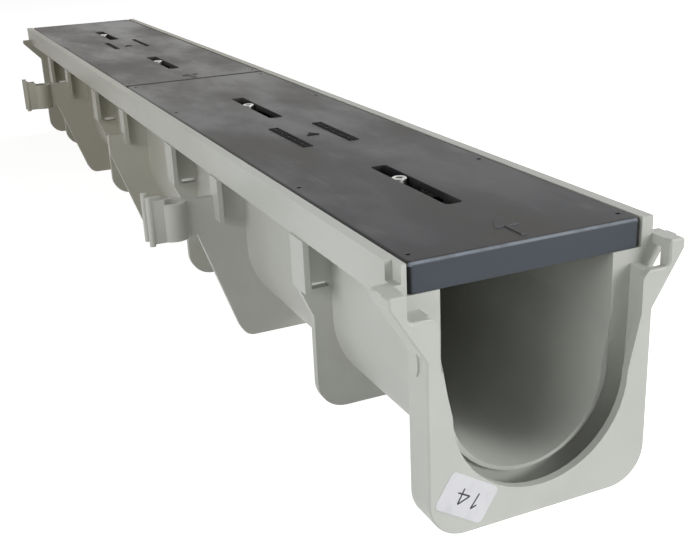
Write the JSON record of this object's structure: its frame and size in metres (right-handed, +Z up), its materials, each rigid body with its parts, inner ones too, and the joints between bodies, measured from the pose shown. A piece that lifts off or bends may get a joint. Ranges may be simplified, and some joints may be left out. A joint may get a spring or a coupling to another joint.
{
  "type": "channel drain",
  "caption": "Moulded plastic channel drain with a round-bottomed trough, socket and spigot ends, cross ribs, bar clips and dark slotted covers locked by screws.",
  "frame": {"origin": "on the base plane of the feet, at mid-length of the laying length and mid-width", "axes": "+X along the channel towards the socket end, +Y across it, +Z up towards the covers"},
  "size_m": [1.0128, 0.2206, 0.1285],
  "materials": {
    "channel_plastic": "light grey moulded plastic, satin",
    "cover_plastic": "near black moulded plastic, satin",
    "screw_steel": "bright zinc plated steel",
    "bar_steel": "zinc plated steel, dull",
    "label_paper": "plain white paper"
  },
  "bodies": {
    "root": {"channel_body": "channel_plastic", "cover_near": "cover_plastic", "cover_far": "cover_plastic", "lock_screw_1": "screw_steel", "lock_screw_2": "screw_steel", "lock_screw_3": "screw_steel", "lock_screw_4": "screw_steel", "lock_bar_1": "bar_steel", "lock_bar_2": "bar_steel", "lock_bar_3": "bar_steel", "lock_bar_4": "bar_steel", "lock_nut_1": "bar_steel", "lock_nut_2": "bar_steel", "lock_nut_3": "bar_steel", "lock_nut_4": "bar_steel", "paper_label": "label_paper"}
  },
  "joints": []
}
